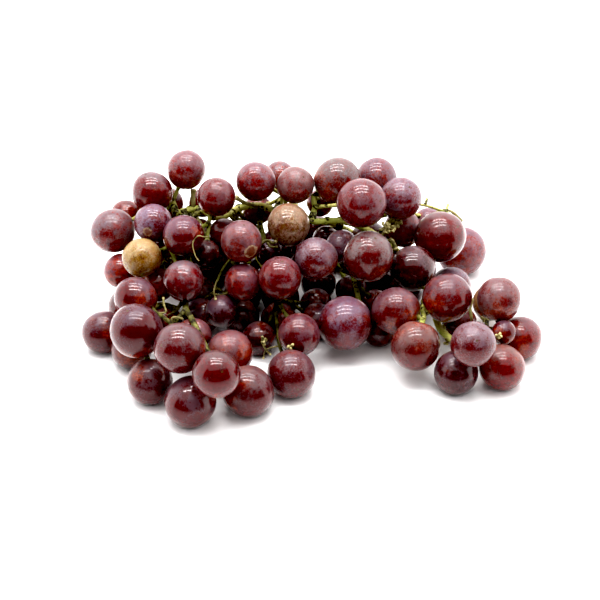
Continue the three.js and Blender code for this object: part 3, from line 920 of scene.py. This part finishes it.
def berry_mesh():
    """A berry of radius 1 with its stalk at +Z, whose skin attribute is its place on a ball."""
    vertices = []
    skin = []
    for band in range(BERRY_BANDS + 1):
        turn = math.pi * band / BERRY_BANDS
        dimple = DIMPLE_DEPTH * math.exp(-((turn / DIMPLE_WIDTH) ** 2))
        tip = TIP_DEPTH * math.exp(-(((math.pi - turn) / TIP_WIDTH) ** 2))
        pole = band in (0, BERRY_BANDS)
        for side in range(1 if pole else BERRY_SIDES):
            around = math.tau * side / BERRY_SIDES
            out = math.sin(turn)
            place = Vector((out * math.cos(around), out * math.sin(around), math.cos(turn)))
            skin.extend(place)
            vertices.append(place * (1 - dimple - tip))
    faces = []
    last = len(vertices) - 1
    for side in range(BERRY_SIDES):
        after = (side + 1) % BERRY_SIDES
        faces.append((0, 1 + side, 1 + after))
        faces.append((last, last - BERRY_SIDES + after, last - BERRY_SIDES + side))
        for band in range(BERRY_BANDS - 2):
            ring = 1 + band * BERRY_SIDES
            lower = ring + BERRY_SIDES
            faces.append((ring + side, lower + side, lower + after, ring + after))
    mesh = bpy.data.meshes.new("berry")
    mesh.from_pydata(vertices, [], faces)
    mesh.attributes.new("skin", "FLOAT_VECTOR", "POINT").data.foreach_set("vector", skin)
    return mesh


def berry_tree():
    """Hangs a berry on each point, with its own size, turn and lumps, and flat on the table."""
    inputs = {"Places": "Geometry", "Berry": "Object", "Lumps": "Float", "Material": "Material"}
    tree, given = new_tree("hang_berries", inputs, "Berries")
    info = {"Object": given["Berry"]}
    berry = add(tree, "GeometryNodeObjectInfo", None, info, out="Geometry")
    size = read(tree, "size", "FLOAT_VECTOR")
    turn = {"Euler": read(tree, "turn", "FLOAT_VECTOR")}
    turn = add(tree, "FunctionNodeEulerToRotation", None, turn)
    sockets = {"Points": given["Places"], "Instance": berry, "Rotation": turn, "Scale": size}
    hung = add(tree, "GeometryNodeInstanceOnPoints", None, sockets)
    whole = add(tree, "GeometryNodeRealizeInstances", None, {"Geometry": hung})
    place = add(tree, "GeometryNodeInputPosition")
    lumps = noise(place, 75, 1, seed=5) - 0.5
    uneven = moved_out(whole, lumps * given["Lumps"])
    # No point lies lower than the table.
    sockets = {0: place, 1: (-10.0, -10.0, 0.0)}
    raised = add(tree, "ShaderNodeVectorMath", {"operation": "MAXIMUM"}, sockets)
    sockets = {"Geometry": uneven, "Position": raised}
    resting = add(tree, "GeometryNodeSetPosition", None, sockets)
    finished(tree, resting, given["Material"], "Berries")
    return tree


def skin_material():
    """Grape skin, whose attributes give each berry its own tones, bloom and scar."""
    material, tree, surface = new_skin(
        "grape_skin",
        Subsurface_Weight=0.2,
        Subsurface_Scale=0.003,
        Specular_IOR_Level=0.25,
        Coat_Roughness=0.08,
    )
    skin = attribute(tree, "skin", "Vector")
    seed = attribute(tree, "seed", "Fac") * 90
    flesh = attribute(tree, "flesh", "Color")
    bloom = attribute(tree, "bloom", "Color")
    more_dust = attribute(tree, "dust_and_painted_light", "Fac")
    scar_at = attribute(tree, "scar_at", "Vector")
    scar_size = attribute(tree, "scar_size", "Fac")
    facing = add(tree, "ShaderNodeNewGeometry", out="Normal")
    upwards = add(tree, "ShaderNodeSeparateXYZ", None, {0: facing}, out="Z")
    backwards = add(tree, "ShaderNodeSeparateXYZ", None, {0: facing}, out="Y")
    stalk_end = add(tree, "ShaderNodeSeparateXYZ", None, {0: skin}, out="Z")
    broad = noise(skin, 1.3, 2, 0.5, seed)
    middling = noise(skin, 5, 4, 0.6, seed)
    fine = noise(skin, 12, 5, 0.8, seed)
    grit = noise(skin, 34, 3, 0.7, seed)
    # Bloom lies in patches and ends in specks. It is also painted thicker on the upper side and
    # thinner in front, which is painted light from above and painted shade at the front.
    dust_and_painted_light = broad + 0.5 * middling + 0.14 * upwards + 0.14 * backwards + more_dust
    whole = dust_and_painted_light.step(0.5, 1.06)
    ragged = (whole + (fine - 0.5) * 2.6 + (grit - 0.5) * 1.6).step(0.42, 0.62)
    ridge = (noise(skin, 4.5, 3, 0.6, seed + 31) - 0.5).math("ABSOLUTE")
    scratches = (1 - ridge.step(0.008, 0.035)) * more_dust.step(-0.03, 0.1) * fine.step(0.36, 0.5)
    cover = whole * 0.2 + ragged * 0.42 + scratches * 0.45
    deep = mix(middling.step(0.38, 0.7), flesh, DEEP_RED)
    fleck = noise(skin, 15, 4, 0.7, seed + 3).step(0.42, 0.6)
    blush = (noise(skin, 1.7, 2, 0.5, seed + 12) + 0.2 * stalk_end).step(0.48, 0.72)
    deep = mix(blush * (0.15 + 0.85 * fleck) * 0.75, deep, FLECKS)
    colour = mix(cover, deep, bloom)
    # Russet scars, with a ragged pale rim, and the dry tip.
    ends = {0: skin, 1: scar_at}
    near = add(tree, "ShaderNodeVectorMath", {"operation": "DISTANCE"}, ends, out="Value")
    near = (near + (middling - 0.5) * 0.9 * scar_size).math("DIVIDE", scar_size)
    scar = 1 - near.step(0.85, 1)
    rim = scar * near.step(0.55, 0.75) * fine.step(0.4, 0.55)
    colour = mix(scar * (0.3 + 0.6 * fine.step(0.4, 0.6)), colour, RUSSET)
    colour = mix(rim * 0.8, colour, PALE_RIM)
    tip = (0 - stalk_end).step(0.9962, 0.998)
    colour = mix(tip, colour, TIP_SCAR)
    roughness = 0.2 + 0.3 * cover + 0.07 * fine + 0.3 * scar
    tree.links.new((1 - 0.45 * ragged - 0.5 * scar).socket, surface.inputs["Coat Weight"])
    height = fine * (0.15 + cover * 0.35) + middling * 0.5 + scar * fine * 1.5
    finish(tree, surface, colour, roughness, height, SKIN_BUMP)
    return material


random.seed(11)
unit_berry = bpy.data.objects.new("unit_berry", berry_mesh())
skin_of_grape = skin_material()
hang = berry_tree()
for name in SPRAYS:
    own = [ball for ball in berries if ball.spray == name]
    tones = TONES.get(name, "").split()
    # Hidden berries take the dark tone, which is partly painted shade.
    tones += ["dark"] * (len(own) - len(tones))
    values = {"size": [], "turn": [], "flesh": [], "bloom": [], "seed": [], "dust_and_painted_light": []}
    values |= {"scar_at": [], "scar_size": []}
    for i, (ball, tone) in enumerate(zip(own, tones)):
        values["size"] += [ball.radius * MM, ball.radius * MM, ball.radius * OVAL * MM]
        spin = Matrix.Rotation(random.uniform(0, math.tau), 3, "Z")
        turned = Vector((0, 0, 1)).rotation_difference(ball.pole).to_matrix() @ spin
        values["turn"].extend(turned.to_euler())
        shade = random.uniform(0.8, 1.25)
        flesh, bloom = RIPE_TONES[tone]
        values["flesh"] += [part * shade for part in flesh]
        values["bloom"] += [part * random.uniform(0.9, 1.1) for part in bloom]
        values["seed"].append(random.random())
        values["dust_and_painted_light"].append(MORE_DUST[tone] + random.uniform(-0.05, 0.05))
        across, up, out, scar_size = SCARS.get((name, i), NO_SCAR)
        scar = Vector((across, 0, 0)) + UP_IN_VIEW * up - SIGHT * out
        values["scar_at"].extend(turned.transposed() @ scar)
        values["scar_size"].append(scar_size)
    mesh = bpy.data.meshes.new("places")
    mesh.from_pydata([placed(ball.centre) for ball in own], [], [])
    for key in ("size", "turn", "scar_at"):
        attributes = mesh.attributes.new(key, "FLOAT_VECTOR", "POINT")
        attributes.data.foreach_set("vector", values[key])
    for key in ("flesh", "bloom"):
        attributes = mesh.attributes.new(key, "FLOAT_COLOR", "POINT")
        attributes.data.foreach_set("color", values[key])
    for key in ("seed", "dust_and_painted_light", "scar_size"):
        attributes = mesh.attributes.new(key, "FLOAT", "POINT")
        attributes.data.foreach_set("value", values[key])
    hang_values = {"Berry": unit_berry, "Lumps": BERRY_LUMPS, "Material": skin_of_grape}
    fruit = made(name + "_berries", mesh, hang, hang_values)
    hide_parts(name)
    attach(fruit, "root")
bpy.data.objects.remove(unit_berry)


# The table: a smooth white board that the bunch lies on. It is wide enough to fill the picture,
# and its skin is a little shiny.
TABLE_SIDE, TABLE_FRONT, TABLE_BACK = 0.85, -0.7, 0.9
table_skin, _, _ = new_skin(
    "white_table",
    Base_Color=(0.93, 0.93, 0.93, 1),
    Roughness=0.22,
    Specular_IOR_Level=0.25,
)
table_mesh = bpy.data.meshes.new("table")
table_corners = [
    (-TABLE_SIDE, TABLE_FRONT, 0),
    (TABLE_SIDE, TABLE_FRONT, 0),
    (TABLE_SIDE, TABLE_BACK, 0),
    (-TABLE_SIDE, TABLE_BACK, 0),
]
table_mesh.from_pydata(table_corners, [], [(0, 1, 2, 3)])
table_mesh.materials.append(table_skin)
table_top = bpy.data.objects.new("table_top", table_mesh)
bpy.context.collection.objects.link(table_top)


# The light: a tent of white cloth above, behind and at both sides, and open at the front.
# Three long lamps under its top make the streaks on the berries, and a weak fill from the
# front lights what hangs in the shade, without being mirrored by the skins.
TENT_WIDTH = 1.7
TENT_HEIGHT = 0.85
TENT_FRONT = -0.4
TENT_BACK = 0.9
CLOTH = 1.35
SIDE_CLOTH = 1.75
STRIP_LENGTH, STRIP_WIDTH = 0.75, 0.045
STRIP_DROP = 0.05
STRIP_PLACES = (-0.12, 0.12, 0.36)
STRIP = 21
FILL = 0.95
FILL_PLACE = (0, -1.25, 0.55)
FILL_TURN = (66, 0, 0)
FILL_SIZE = (1.6, 0.8)
ROOM = 0.07
BLACK = 0.025


def lamp(name, place, turn, width, height, brightness):
    """A flat lamp, that shines from its own -Z side."""
    data = bpy.data.lights.new(name, "AREA")
    data.shape = "RECTANGLE"
    data.size = width
    data.size_y = height
    data.energy = brightness * math.pi * width * height
    piece = bpy.data.objects.new(name, data)
    piece.location = place
    piece.rotation_euler = [math.radians(angle) for angle in turn]
    bpy.context.collection.objects.link(piece)
    return piece


wall_depth = TENT_BACK - TENT_FRONT
wall_y = (TENT_BACK + TENT_FRONT) / 2
lamp("tent_top", (0, 0.05, TENT_HEIGHT), (0, 0, 0), TENT_WIDTH, TENT_WIDTH, CLOTH)
back_place = (0, TENT_BACK, TENT_HEIGHT / 2)
lamp("tent_back", back_place, (-90, 0, 0), TENT_WIDTH, TENT_HEIGHT, CLOTH)
for side in (-1, 1):
    place = (side * TENT_WIDTH / 2, wall_y, TENT_HEIGHT / 2)
    lamp("tent_side", place, (0, side * 90, 0), TENT_HEIGHT, wall_depth, SIDE_CLOTH)
for strip_y in STRIP_PLACES:
    place = (-0.05, strip_y, TENT_HEIGHT - STRIP_DROP)
    lamp("strip", place, (0, 0, 0), STRIP_LENGTH, STRIP_WIDTH, STRIP)
fill = lamp("front_fill", FILL_PLACE, FILL_TURN, *FILL_SIZE, FILL)
fill.visible_glossy = False

# The room is dim, and white past the table's edges.
world = bpy.data.worlds.new("room")
world.use_nodes = True
past_table = add(world.node_tree, "ShaderNodeLightPath", out="Is Camera Ray")
room_light = world.node_tree.nodes["Background"].inputs
room_light["Color"].default_value = (1, 1, 1, 1)
strength = past_table * (1 - ROOM) + ROOM
world.node_tree.links.new(strength.socket, room_light["Strength"])
bpy.context.scene.world = world
# The photograph is developed with deep blacks.
view = bpy.context.scene.view_settings
view.view_transform = "Standard"
view.look = "High Contrast"
view.use_curve_mapping = True
view.curve_mapping.black_level = (BLACK, BLACK, BLACK)
view.curve_mapping.update()

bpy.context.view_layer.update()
